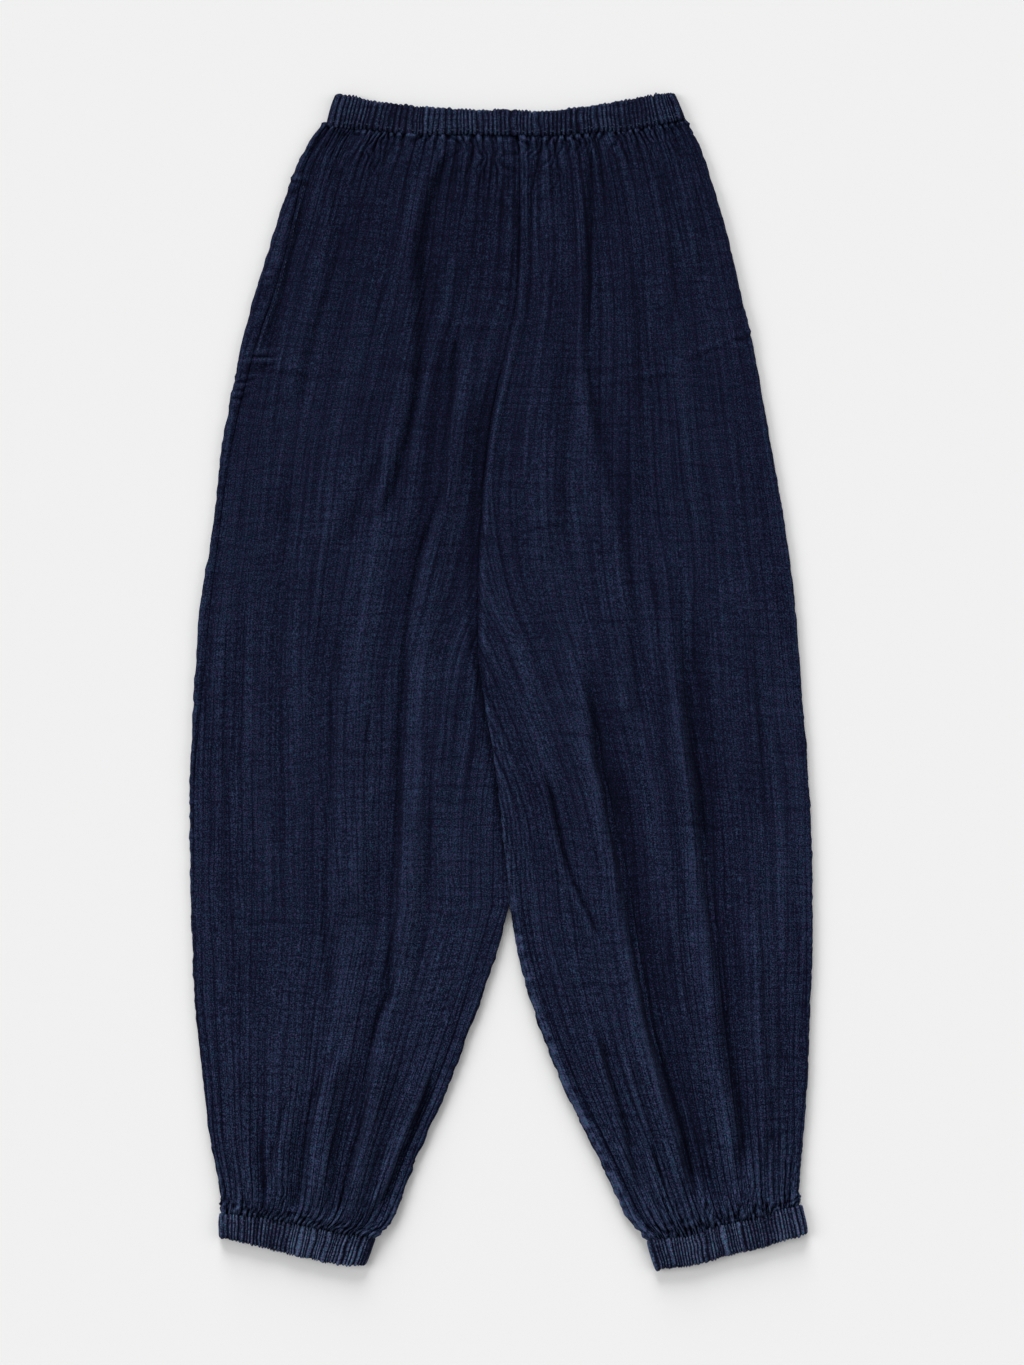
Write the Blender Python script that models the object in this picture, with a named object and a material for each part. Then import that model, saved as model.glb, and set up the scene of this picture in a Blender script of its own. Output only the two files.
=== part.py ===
"""Pull-on balloon trousers of crinkled cotton, laid flat on their back with the front up.

The waist is towards +Y, the cuffs towards -Y, and the cloth rests on the plane Z = 0. Left and right
are the viewer's, so left is -X. All tables and driving sizes are in millimetres.

Each leg is a flattened tube: a flat under layer, a round turn at the side edge, and an upper layer that
carries the folds. The front and back panels are stretches of that tube, parted at the seams.
"""

import math
from collections import namedtuple

import bpy
from mathutils import Vector

MM = 0.001

# Cloth and seams
CLOTH = 1.6
CASING = 3.2
SEAM_GAP = 0.35
EDGE_RADIUS = 2.3
CASING_RADIUS = 1.85
TURN = EDGE_RADIUS * math.pi / 2

# Heights of the middle of the cloth wall above the surface
UNDER_HEIGHT = CLOTH / 2
EDGE_HEIGHT = UNDER_HEIGHT + EDGE_RADIUS
UPPER_HEIGHT = UNDER_HEIGHT + 2 * EDGE_RADIUS

# Gathers and ribs
BAND_RIBS = 53
CUFF_RIBS = {"left": 27, "right": 30}
LEG_GATHERS = 22
RIB_HEIGHT = 1.6
WAIST_GATHER_HEIGHT = 1.8
CUFF_GATHER_HEIGHT = 2.2
LEG_GATHER_HEIGHT = 0.8
POINTS_PER_WAVE = 3

# Puffs of the upper layer beside the casings, and how its folds fade towards the edges
WAIST_PUFF = 3.0
CUFF_PUFF = 7.0
FADE_START = 6.0
FADE_END = 34.0

# Pocket bags hang inside, from the side seams
POCKET_CLOTH = 1.0
POCKET_MOUTH_TOP = 423.0
POCKET_MOUTH_LOW = 276.0
POCKET_REACH_IN = 128.0
POCKET_REACH_UP = 12.0
POCKET_REACH_DOWN = 105.0
POCKET_INSET = 7.0

# One row for each section, from the waist seam to the last one above the cuffs. A section runs from
# the side edge to the centre seam or, below the fork, to the inseam. wrap is how far the back panel
# comes round the left edge onto the front.
Section = namedtuple(
    "Section", "left_x left_y seam_left_x seam_right_x seam_y right_x right_y wrap"
)
SECTIONS = (
    Section(-153, 471, 13, 13, 463, 157, 475, 5),
    Section(-163, 459, 15, 15, 443, 166, 460, 7),
    Section(-176, 435, 15, 15, 414, 176, 435, 9),
    Section(-193, 384, 15, 15, 367, 191, 384, 14),
    Section(-209, 333, 12, 12, 320, 203, 333, 17),
    Section(-222, 282, 3, 3, 277, 215, 282, 13),
    Section(-237, 205, -10, -10, 214, 229, 205, 9),
    Section(-246, 129, -17, -17, 141, 242, 129, 7),
    Section(-256, 65, -20, -20, 69, 250, 65, 9),
    Section(-261, 1, -18, -18, 22, 255, 1, 8),
    Section(-265, -75, -7, -7, -50, 261, -75, 5),
    Section(-265, -126, 1, 1, -109, 264, -126, 3.8),
    Section(-264, -195, 7, 7, -190, 265, -195, 3.0),
    Section(-263, -233, -6, 15, -237, 265, -233, 2.4),
    Section(-261, -279, -24, 30, -288, 263, -279, 1.8),
    Section(-255, -335, -46, 53, -346, 261, -335, 1.3),
    Section(-249, -386, -71, 81, -402, 257, -386, 0.9),
    Section(-240, -430, -93, 108, -457, 253, -428, 0.5),
)
CROTCH_ROW = 8.6
CLOSED_ROW = 10.0
FORK_ROW = 12
LAST_ROW = len(SECTIONS)

# The upper and lower edges of the casings, from left to right
CasingEdge = namedtuple("CasingEdge", "top_x top_y low_x low_y")
BAND = (
    CasingEdge(-140, 500, -148, 473),
    CasingEdge(-113, 494, -119, 469),
    CasingEdge(-78, 489, -82, 467),
    CasingEdge(-44, 487, -45, 465),
    CasingEdge(-10, 486, -10, 464),
    CasingEdge(24, 484, 24, 464),
    CasingEdge(58, 487, 58, 465),
    CasingEdge(92, 492, 94, 468),
    CasingEdge(122, 497, 127, 472),
    CasingEdge(145, 500, 155, 477),
)
CUFFS = {
    "left": (
        CasingEdge(-239, -452, -239, -473),
        CasingEdge(-206, -456, -208, -480),
        CasingEdge(-173, -462, -178, -487),
        CasingEdge(-140, -468, -148, -494),
        CasingEdge(-108, -473, -117, -497),
    ),
    "right": (
        CasingEdge(125, -475, 133, -500),
        CasingEdge(157, -472, 162, -496),
        CasingEdge(189, -463, 195, -487),
        CasingEdge(222, -455, 227, -480),
        CasingEdge(254, -444, 259, -469),
    ),
}

# The largest folds of the upper layer. Each is a soft ridge on a bent line through three points.
Fold = namedtuple("Fold", "top_x top_y mid_x mid_y low_x low_y width rise")
FOLDS = (
    Fold(-71, 435, -83, 324, -82, 205, 10.2, 5.2),
    Fold(-52, 324, -65, 222, -76, 103, 10.2, 5.2),
    Fold(-22, 286, -44, 171, -65, 1, 11, 6.8),
    Fold(-133, 20, -133, -101, -139, -230, 15.3, 6.0),
    Fold(-74, -60, -82, -169, -99, -270, 11.9, 6.0),
    Fold(-139, -300, -150, -381, -159, -460, 10.2, 9.0),
    Fold(-102, -300, -114, -385, -133, -460, 10.2, 9.0),
    Fold(-65, -310, -86, -398, -116, -462, 9.3, 7.5),
    Fold(-224, -300, -217, -390, -209, -455, 10.2, 6.0),
    Fold(-184, -290, -186, -381, -188, -460, 10.2, 6.0),
    Fold(40, 420, 44, 265, 33, 69, 12.8, 6.0),
    Fold(102, 400, 107, 256, 118, 137, 12.8, 5.2),
    Fold(132, 142, 147, -7, 169, -149, 12.8, 6.8),
    Fold(129, -149, 152, -271, 180, -440, 11, 9.0),
    Fold(206, -186, 220, -296, 224, -440, 11, 7.5),
    Fold(58, -149, 96, -260, 147, -450, 11, 7.5),
    Fold(33, -211, 60, -305, 114, -450, 9.3, 6.0),
    Fold(84, 103, 94, -16, 105, -126, 12.8, 5.2),
    Fold(198, 103, 207, -16, 211, -118, 14.4, 4.5),
)

# Rows of points down a front panel: first and last section position, number of steps between them,
# and gathers across a row
RowBand = namedtuple("RowBand", "first last steps gathers")
FRONT_ROWS = (
    RowBand(0.0, 1.0, 2, LEG_GATHERS),
    RowBand(1.5, 15.0, 26, LEG_GATHERS // 2),
    RowBand(15.5, 16.5, 2, LEG_GATHERS // 2),
    RowBand(17.0, LAST_ROW, 2, LEG_GATHERS),
)
PLAIN_COLUMNS = 20
UNDER_COLUMNS = 4
SEAM_UNDER_COLUMNS = 12
BAND_UNDER_STEPS = 24
CUFF_UNDER_STEPS = 12
TURN_STEPS = 3
WRAP_STEPS = 8

# Over how many section rows the panels bend to follow the casings
WAIST_BEND_ROWS = 2.5
CUFF_BEND_ROWS = 1.0

INDIGO = (0.0125, 0.0172, 0.0385, 1.0)
INDIGO_CASING = (0.0190, 0.0260, 0.0540, 1.0)


def smoothstep(value):
    value = max(0.0, min(1.0, value))
    return value * value * (3 - 2 * value)


def curve(points, position, corner=None):
    """The point at a row position on a smooth line through points. It may turn sharply at one corner row."""
    start = max(0, min(len(points) - 2, math.floor(position)))
    share = position - start
    before, first, last, after = (
        points[max(0, min(len(points) - 1, start + step))] for step in (-1, 0, 1, 2)
    )
    if start == corner:
        before = first
    if start + 1 == corner:
        after = last
    pull_in = (last - before) * (0.5 if before is not first else 1.0)
    pull_out = (after - first) * (0.5 if after is not last else 1.0)
    square, cube = share * share, share**3
    return (
        first * (2 * cube - 3 * square + 1)
        + last * (3 * square - 2 * cube)
        + pull_in * (cube - 2 * square + share)
        + pull_out * (cube - square)
    )


def casing_point(edges, share, level):
    """A point along a casing from left (0) to right (1), from its upper edge (level 0) to its lower one."""
    position = share * (len(edges) - 1)
    top = curve([Vector((row.top_x, row.top_y)) for row in edges], position)
    low = curve([Vector((row.low_x, row.low_y)) for row in edges], position)
    return top.lerp(low, level)


def casing_y(edges, level, x):
    """The casing's height at this x."""
    left, right = casing_point(edges, 0.0, level), casing_point(edges, 1.0, level)
    share = 0.0
    for _ in range(5):
        miss = (x - casing_point(edges, share, level).x) / (right.x - left.x)
        share = max(0.0, min(1.0, share + miss))
    return casing_point(edges, share, level).y


def seam_shift(side, position, x):
    """How far a section bends in the plane at this x, to follow the seam to the waistband or the cuff."""
    if position < WAIST_BEND_ROWS:
        seam_y = casing_y(BAND, 1.0, x) - SEAM_GAP
        share = smoothstep(1 - position / WAIST_BEND_ROWS)
        end_row = 0.0
    elif position > LAST_ROW - CUFF_BEND_ROWS:
        seam_y = casing_y(CUFFS[side], 0.0, x) + SEAM_GAP
        share = smoothstep(1 - (LAST_ROW - position) / CUFF_BEND_ROWS)
        end_row = float(LAST_ROW)
    else:
        return 0.0
    outer, inner = section_ends(side, end_row)
    chord_y = outer.y + (inner.y - outer.y) * (x - outer.x) / (inner.x - outer.x)
    return (seam_y - chord_y) * share


def section_ends(side, position):
    """The outer and inner ends of a section of one leg, as points in the plane."""
    if side == "left":
        outers = [Vector((row.left_x, row.left_y)) for row in SECTIONS]
        inners = [Vector((row.seam_left_x, row.seam_y)) for row in SECTIONS]
    else:
        outers = [Vector((row.right_x, row.right_y)) for row in SECTIONS]
        inners = [Vector((row.seam_right_x, row.seam_y)) for row in SECTIONS]
    ends = [Vector((row.top_x, row.top_y + SEAM_GAP)) for row in (CUFFS[side][0], CUFFS[side][-1])]
    outers.append(ends[0 if side == "left" else 1])
    inners.append(ends[1 if side == "left" else 0])
    return curve(outers, position), curve(inners, position, corner=FORK_ROW)


def wrap_at(side, position):
    """How far the back panel comes round the side edge, along the wall."""
    if side == "right":
        return 0.0
    wraps = [row.wrap for row in SECTIONS] + [SECTIONS[-1].wrap]
    return max(0.0, curve([float(wrap) for wrap in wraps], position))


def fold_rise(x, y):
    """How far the folds lift the upper layer at this place."""
    total = 0.0
    for fold in FOLDS:
        if not fold.low_y < y < fold.top_y:
            continue
        share = (fold.top_y - y) / (fold.top_y - fold.low_y)
        middle = (fold.top_y - fold.mid_y) / (fold.top_y - fold.low_y)
        bend = (
            fold.mid_x - fold.top_x - (fold.low_x - fold.top_x) * middle
        ) / (middle * (1 - middle))
        centre = fold.top_x + (fold.low_x - fold.top_x) * share + bend * share * (1 - share)
        along = smoothstep(share * 4) * smoothstep((1 - share) * 4)
        total += fold.rise * along * math.exp(-(((x - centre) / fold.width) ** 2))
    return total


def lift_at(place, position, from_edge, from_seam, closing):
    """Rise of the upper layer over its plain height: folds, and the puffs beside the casings."""
    fade = smoothstep((from_edge - FADE_START) / (FADE_END - FADE_START))
    seam_fade = smoothstep((from_seam - FADE_START) / (FADE_END - FADE_START))
    fade *= 1 - closing + closing * seam_fade
    from_waist = smoothstep(position / 1.5)
    from_cuff = smoothstep((LAST_ROW - position) / 0.8)
    puff = WAIST_PUFF * math.exp(-position / 2) + CUFF_PUFF * math.exp((position - LAST_ROW) / 2)
    return fade * from_waist * from_cuff * (fold_rise(place.x, place.y) + puff)


def closing_at(position):
    """0 where the panels end at the centre seam, 1 where the leg is a closed tube."""
    return smoothstep((position - CROTCH_ROW) / (CLOSED_ROW - CROTCH_ROW))


def edge_turn(along):
    """Distance in from the edge, height and normal at this length along the wall from its outermost point."""
    angle = max(-math.pi / 2, min(math.pi / 2, along / EDGE_RADIUS))
    beyond = max(0.0, abs(along) - TURN)
    inward = CLOTH / 2 + EDGE_RADIUS * (1 - math.cos(angle)) + beyond
    height = EDGE_HEIGHT + EDGE_RADIUS * math.sin(angle)
    return inward, height, (-math.cos(angle), math.sin(angle))


def seam_turn(end, angle, closing, upward):
    """The same at the inner end, where the wall turns towards the inseam as the leg closes."""
    plain = UPPER_HEIGHT if upward > 0 else UNDER_HEIGHT
    closed = EDGE_HEIGHT + upward * SEAM_GAP / 2
    at_end = plain + (closed - plain) * closing
    inward = end + EDGE_RADIUS * math.cos(angle)
    height = at_end + (plain - at_end) * math.sin(angle)
    normal = Vector((closing * math.cos(angle), 1 - closing + closing * math.sin(angle)))
    normal.normalize()
    return inward, height, (normal.x, upward * normal.y)


def place_stations(side, position, stations, upper):
    """Mid-wall points and normals in space for a section's stations."""
    outer, inner = section_ends(side, position)
    width = (inner - outer).length
    across = (inner - outer) / width
    closing = closing_at(position)
    placed = []
    for inward, height, (side_normal, up_normal) in stations:
        place = outer + across * inward
        place.y += seam_shift(side, position, place.x)
        if upper and inward > CLOTH / 2 + EDGE_RADIUS:
            height += lift_at(place, position, inward, width - inward, closing) * max(up_normal, 0.0)
        normal = Vector((across.x * side_normal, across.y * side_normal, up_normal))
        placed.append((Vector((place.x, place.y, height)), normal))
    return placed


def run_limits(side, position, start):
    """Where the even run of stations begins and ends, in from the edge."""
    outer, inner = section_ends(side, position)
    closing = closing_at(position)
    end = (inner - outer).length - closing * CLOTH / 2 - SEAM_GAP / 2 - EDGE_RADIUS
    return edge_turn(start)[0], end


def front_row(side, position, columns):
    """Mid-wall stations across a front panel, from its side seam to its inner seam."""
    start = wrap_at(side, position) + SEAM_GAP / 2
    first, last = run_limits(side, position, start + TURN)
    stations = [edge_turn(start + TURN * step / TURN_STEPS) for step in range(TURN_STEPS)]
    for step in range(columns):
        inward = first + (last - first) * step / columns
        stations.append((inward, UPPER_HEIGHT, (0.0, 1.0)))
    for step in range(TURN_STEPS + 1):
        angle = math.pi / 2 * (1 - step / TURN_STEPS)
        stations.append(seam_turn(last, angle, closing_at(position), 1))
    return place_stations(side, position, stations, upper=True)


def back_row(side, position, columns):
    """Mid-wall stations across a back panel, from its inner seam under the leg and round to its side seam."""
    first, last = run_limits(side, position, -TURN)
    stations = []
    for step in range(TURN_STEPS + 1):
        angle = math.pi / 2 * step / TURN_STEPS
        stations.append(seam_turn(last, angle, closing_at(position), -1))
    for step in range(1, columns):
        inward = last + (first - last) * step / columns
        stations.append((inward, UNDER_HEIGHT, (0.0, -1.0)))
    finish = wrap_at(side, position) - SEAM_GAP / 2
    steps = WRAP_STEPS if side == "left" else TURN_STEPS
    for step in range(steps + 1):
        stations.append(edge_turn(-TURN + (finish + TURN) * step / steps))
    return place_stations(side, position, stations, upper=True)


# A row of points by number, and the places in it where a flat stretch meets a turn
Row = namedtuple("Row", "ids breaks")


class Shell:
    """Collects the points and faces of one closed wall."""

    def __init__(self):
        self.points = []
        self.faces = []

    def add_row(self, points, breaks=(), ring=False):
        first = len(self.points)
        self.points.extend(points)
        ids = list(range(first, len(self.points)))
        return Row(ids + ids[:1] if ring else ids, breaks)

    def strip(self, one, other, flip):
        """Fills between two stretches of points, which may differ in number."""
        i, j = 0, 0
        while i < len(one) - 1 or j < len(other) - 1:
            next_one = (i + 1) / (len(one) - 1)
            next_other = (j + 1) / (len(other) - 1)
            if abs(next_one - next_other) < 1e-9:
                face = (one[i], one[i + 1], other[j + 1], other[j])
                i, j = i + 1, j + 1
            elif next_one < next_other:
                face = (one[i], one[i + 1], other[j])
                i += 1
            else:
                face = (one[i], other[j + 1], other[j])
                j += 1
            self.faces.append(face[::-1] if flip else face)

    def bridge(self, one, other, flip=False):
        """Fills between two rows, stretch by stretch."""
        starts = (0, *one.breaks), (0, *other.breaks)
        ends = (*one.breaks, len(one.ids) - 1), (*other.breaks, len(other.ids) - 1)
        for first, last, other_first, other_last in zip(starts[0], ends[0], starts[1], ends[1]):
            stretch = one.ids[first : last + 1]
            self.strip(stretch, other.ids[other_first : other_last + 1], flip)

    def sheet(self, rows, flip=False):
        for one, other in zip(rows, rows[1:]):
            self.bridge(one, other, flip)

    def close(self, outer, inner, ring=False):
        """Makes a wall of its outer and inner sheets. An open one also has two side edges."""
        self.sheet(outer)
        self.sheet(inner, flip=True)
        self.bridge(outer[0], inner[0], flip=True)
        self.bridge(outer[-1], inner[-1])
        if ring:
            return
        for end, flip in ((0, False), (-1, True)):
            edges = ([row.ids[end] for row in rows] for rows in (outer, inner))
            self.strip(*edges, flip)

    def make(self, name, material):
        mesh = bpy.data.meshes.new(name)
        mesh.from_pydata([point * MM for point in self.points], [], self.faces)
        mesh.validate()
        mesh.update()
        mesh.shade_smooth()
        mesh.set_sharp_from_angle(angle=math.radians(50))
        mesh.materials.append(material)
        made = bpy.data.objects.new(name, mesh)
        bpy.context.scene.collection.objects.link(made)
        return made


def gather_height(position):
    """Height of the gathers on a panel's outer face, fading away from the casings."""
    at_waist = (WAIST_GATHER_HEIGHT - LEG_GATHER_HEIGHT) * max(0.0, 1 - position / 3)
    at_cuff = (CUFF_GATHER_HEIGHT - LEG_GATHER_HEIGHT) * max(0.0, 1 - (LAST_ROW - position) / 3)
    return LEG_GATHER_HEIGHT + at_waist + at_cuff


def gather_wave(share, gathers):
    """Height of a gather at this share of the way across, from 0 to 1. Gathers are uneven."""
    wave = 0.5 - 0.5 * math.cos(2 * math.pi * gathers * share)
    return wave * (0.7 + 0.3 * math.sin(19 * share) * math.sin(47 * share))


def row_list():
    """(section position, gathers) for each row of points down a panel."""
    rows = []
    for band in FRONT_ROWS:
        for step in range(band.steps + 1):
            position = band.first + (band.last - band.first) * step / band.steps
            rows.append((position, band.gathers))
    return rows


def front_panel(side, material):
    shell = Shell()
    outer, inner = [], []
    for position, gathers in row_list():
        columns = gathers * POINTS_PER_WAVE
        raised = []
        placed = front_row(side, position, columns)
        for index, (point, normal) in enumerate(placed):
            share = max(0.0, min(1.0, (index - TURN_STEPS) / columns))
            wave = gather_wave(share, gathers) * gather_height(position)
            raised.append(point + normal * (CLOTH / 2 + wave))
        outer.append(shell.add_row(raised, (TURN_STEPS, TURN_STEPS + columns)))
        plain = front_row(side, position, PLAIN_COLUMNS)
        lining = [point - normal * CLOTH / 2 for point, normal in plain]
        inner.append(shell.add_row(lining, (TURN_STEPS, TURN_STEPS + PLAIN_COLUMNS)))
    close_panel(shell, outer, inner, side)
    return shell.make(f"front_panel_{side}", material)


def back_panel(side, material):
    shell = Shell()
    outer, inner = [], []
    for position, gathers in row_list():
        columns = SEAM_UNDER_COLUMNS if gathers == LEG_GATHERS else UNDER_COLUMNS
        breaks = (TURN_STEPS, TURN_STEPS + columns)
        placed = back_row(side, position, columns)
        outside = [point + normal * CLOTH / 2 for point, normal in placed]
        inside = [point - normal * CLOTH / 2 for point, normal in placed]
        outer.append(shell.add_row(outside, breaks))
        inner.append(shell.add_row(inside, breaks))
    close_panel(shell, outer, inner, side)
    return shell.make(f"back_panel_{side}", material)


def close_panel(shell, outer, inner, side):
    """Rows run from the side edge inwards, so a left panel's faces are turned round."""
    shell.close(outer, inner)
    if side == "left":
        shell.faces = [face[::-1] for face in shell.faces]


def ring_row(path, ribs, under_steps, rib_height, swell):
    """Outer and inner points round a flattened casing at one level. path gives its plan from 0 to 1."""
    upper = CASING / 2 + 2 * CASING_RADIUS + swell
    middle = CASING / 2 + CASING_RADIUS
    left, right = path(0.0), path(1.0)
    length = (right - left).length
    inset = (CASING / 2 + CASING_RADIUS) / length
    stations = []
    count = ribs * POINTS_PER_WAVE
    for step in range(count + 1):
        place = path(inset + (1 - 2 * inset) * step / count)
        wave = gather_wave(step / count, ribs)
        stations.append((place, upper, Vector((0, 0, 1)), wave * rib_height))
    for step in range(1, TURN_STEPS):
        stations.append(ring_end(path, 1 - inset, 1.0, math.pi / 2 - math.pi * step / TURN_STEPS, middle))
    for step in range(under_steps + 1):
        place = path(1 - inset - (1 - 2 * inset) * step / under_steps)
        stations.append((place, CASING / 2, Vector((0, 0, -1)), 0.0))
    for step in range(1, TURN_STEPS):
        stations.append(ring_end(path, inset, -1.0, -math.pi / 2 + math.pi * step / TURN_STEPS, middle))
    return stations


def ring_breaks(ribs, under_steps):
    top = ribs * POINTS_PER_WAVE
    return top, top + TURN_STEPS, top + TURN_STEPS + under_steps


def ring_end(path, share, outward, angle, middle):
    """A station on the turn at one end of a flattened casing."""
    centre = path(share)
    along = (path(1.0 if outward > 0 else 0.0) - centre).normalized()
    reach = CASING_RADIUS * math.cos(angle)
    normal = Vector((along.x * math.cos(angle), along.y * math.cos(angle), math.sin(angle)))
    return centre + along * reach, middle + CASING_RADIUS * math.sin(angle), normal, 0.0


def casing(name, edges, ribs, under_steps, material):
    """A closed ring of casing cloth, flattened, with ribs on its upper side."""
    shell = Shell()
    outer, inner = [], []
    for level, swell in ((0.0, 0.0), (0.5, 0.4), (1.0, 0.0)):
        def path(share, level=level):
            return casing_point(edges, share, level)

        stations = ring_row(path, ribs, under_steps, RIB_HEIGHT, swell)
        points = [
            Vector((place.x, place.y, height)) + normal * (CASING / 2 + rib)
            for place, height, normal, rib in stations
        ]
        outer.append(shell.add_row(points, ring_breaks(ribs, under_steps), ring=True))
        if level != 0.5:
            plain_ribs = under_steps // POINTS_PER_WAVE
            stations = ring_row(path, plain_ribs, under_steps, 0.0, 0.0)
            points = [
                Vector((place.x, place.y, height)) - normal * CASING / 2
                for place, height, normal, _ in stations
            ]
            inner.append(shell.add_row(points, ring_breaks(plain_ribs, under_steps), ring=True))
    shell.close(outer, inner, ring=True)
    shell.faces = [face[::-1] for face in shell.faces]
    return shell.make(name, material)


def edge_x_at(side, y):
    """The side edge's x at this height, read from the sections."""
    low, high = 0.0, float(FORK_ROW)
    for _ in range(30):
        middle = (low + high) / 2
        if section_ends(side, middle)[0].y > y:
            low = middle
        else:
            high = middle
    return section_ends(side, low)[0].x


def pocket_layer(side, layer, material):
    """One layer of a pocket bag: a straight-sided mouth along the side seam and a rounded bag."""
    inward = 1 if side == "left" else -1
    outline = []
    mouth_steps, bag_steps = 6, 16
    for step in range(mouth_steps + 1):
        y = POCKET_MOUTH_LOW + (POCKET_MOUTH_TOP - POCKET_MOUTH_LOW) * step / mouth_steps
        outline.append(Vector((edge_x_at(side, y) + inward * POCKET_INSET, y)))
    low, top = outline[0], outline[-1]
    centre = (low + top) / 2
    for step in range(1, bag_steps):
        angle = math.pi / 2 - math.pi * step / bag_steps
        on_line = centre + (top - centre) * math.sin(angle)
        reach = POCKET_REACH_UP if angle > 0 else POCKET_REACH_DOWN
        swing = math.cos(angle)
        down = -POCKET_REACH_DOWN if angle < 0 else reach
        outline.append(
            on_line + Vector((inward * POCKET_REACH_IN * swing, down * swing * abs(math.sin(angle))))
        )
    floor = CLOTH + SEAM_GAP + layer * (POCKET_CLOTH + SEAM_GAP)
    shell = Shell()
    low = shell.add_row([Vector((point.x, point.y, floor)) for point in outline], ring=True)
    top = shell.add_row([Vector((point.x, point.y, floor + POCKET_CLOTH)) for point in outline], ring=True)
    shell.faces.append(tuple(top.ids[:-1]))
    shell.faces.append(tuple(reversed(low.ids[:-1])))
    shell.bridge(low, top)
    if side == "left":
        shell.faces = [face[::-1] for face in shell.faces]
    name = "pocket_front" if layer else "pocket_back"
    return shell.make(f"{name}_{side}", material)


def cotton(name, colour):
    """Matt cotton."""
    material = bpy.data.materials.new(name)
    material.use_nodes = True
    shader = material.node_tree.nodes["Principled BSDF"]
    shader.inputs["Base Color"].default_value = colour
    shader.inputs["Roughness"].default_value = 0.92
    shader.inputs["Metallic"].default_value = 0.0
    return material


def clear_scene():
    for item in list(bpy.data.objects):
        bpy.data.objects.remove(item, do_unlink=True)


def main():
    clear_scene()
    for side in ("left", "right"):
        front_panel(side, cotton(f"cotton_front_{side}", INDIGO))
        back_panel(side, cotton(f"cotton_back_{side}", INDIGO))
        cuff_cotton = cotton(f"cotton_cuff_{side}", INDIGO_CASING)
        casing(f"cuff_{side}", CUFFS[side], CUFF_RIBS[side], CUFF_UNDER_STEPS, cuff_cotton)
        for layer in (0, 1):
            pocket_layer(side, layer, cotton(f"cotton_pocket_{side}_{layer}", INDIGO))
    band_cotton = cotton("cotton_waistband", INDIGO_CASING)
    casing("waistband", BAND, BAND_RIBS, BAND_UNDER_STEPS, band_cotton)


main()
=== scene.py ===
"""Looks of the balloon trousers: crinkled indigo double gauze, laid flat and seen from straight above.

Left and right are the viewer's. Tables and surface maths are in millimetres, and meshes in metres.
"""

import math
from collections import namedtuple

import bpy
import numpy as np
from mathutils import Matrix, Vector


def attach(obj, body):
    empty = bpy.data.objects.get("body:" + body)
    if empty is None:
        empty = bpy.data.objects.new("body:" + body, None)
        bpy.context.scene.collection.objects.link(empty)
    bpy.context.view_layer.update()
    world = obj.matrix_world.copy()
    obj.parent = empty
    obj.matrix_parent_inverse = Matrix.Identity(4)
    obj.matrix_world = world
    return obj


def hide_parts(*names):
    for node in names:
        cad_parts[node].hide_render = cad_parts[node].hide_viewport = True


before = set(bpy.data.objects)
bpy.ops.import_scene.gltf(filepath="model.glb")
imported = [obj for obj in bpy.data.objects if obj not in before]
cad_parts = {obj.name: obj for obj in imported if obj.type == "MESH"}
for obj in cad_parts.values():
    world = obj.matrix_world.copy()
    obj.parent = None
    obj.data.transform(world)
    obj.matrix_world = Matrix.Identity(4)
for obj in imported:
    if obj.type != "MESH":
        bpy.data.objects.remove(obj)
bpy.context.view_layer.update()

MM = 0.001

# The form that the cloth lies on
CLOTH = 1.6
CASING = 3.2
SEAM_GAP = 0.35
EDGE_RADIUS = 2.3
CASING_RADIUS = 1.85
TURN = EDGE_RADIUS * math.pi / 2
UNDER_HEIGHT = CLOTH / 2
EDGE_HEIGHT = UNDER_HEIGHT + EDGE_RADIUS
UPPER_HEIGHT = UNDER_HEIGHT + 2 * EDGE_RADIUS

Section = namedtuple(
    "Section", "left_x left_y seam_left_x seam_right_x seam_y right_x right_y wrap"
)
SECTIONS = (
    Section(-153, 471, 13, 13, 463, 157, 475, 5),
    Section(-163, 459, 15, 15, 443, 166, 460, 7),
    Section(-176, 435, 15, 15, 414, 176, 435, 9),
    Section(-193, 384, 15, 15, 367, 191, 384, 14),
    Section(-209, 333, 12, 12, 320, 203, 333, 17),
    Section(-222, 282, 3, 3, 277, 215, 282, 13),
    Section(-237, 205, -10, -10, 214, 229, 205, 9),
    Section(-246, 129, -17, -17, 141, 242, 129, 7),
    Section(-256, 65, -20, -20, 69, 250, 65, 9),
    Section(-261, 1, -18, -18, 22, 255, 1, 8),
    Section(-265, -75, -7, -7, -50, 261, -75, 5),
    Section(-265, -126, 1, 1, -109, 264, -126, 3.8),
    Section(-264, -195, 7, 7, -190, 265, -195, 3.0),
    Section(-263, -233, -6, 15, -237, 265, -233, 2.4),
    Section(-261, -279, -24, 30, -288, 263, -279, 1.8),
    Section(-255, -335, -46, 53, -346, 261, -335, 1.3),
    Section(-249, -386, -71, 81, -402, 257, -386, 0.9),
    Section(-240, -430, -93, 108, -457, 253, -428, 0.5),
)
CROTCH_ROW = 8.6
CLOSED_ROW = 10.0
FAN_ROW = 6.5
FORK_ROW = 12
LAST_ROW = len(SECTIONS)
WAIST_BEND_ROWS = 2.5
CUFF_BEND_ROWS = 1.0

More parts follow.
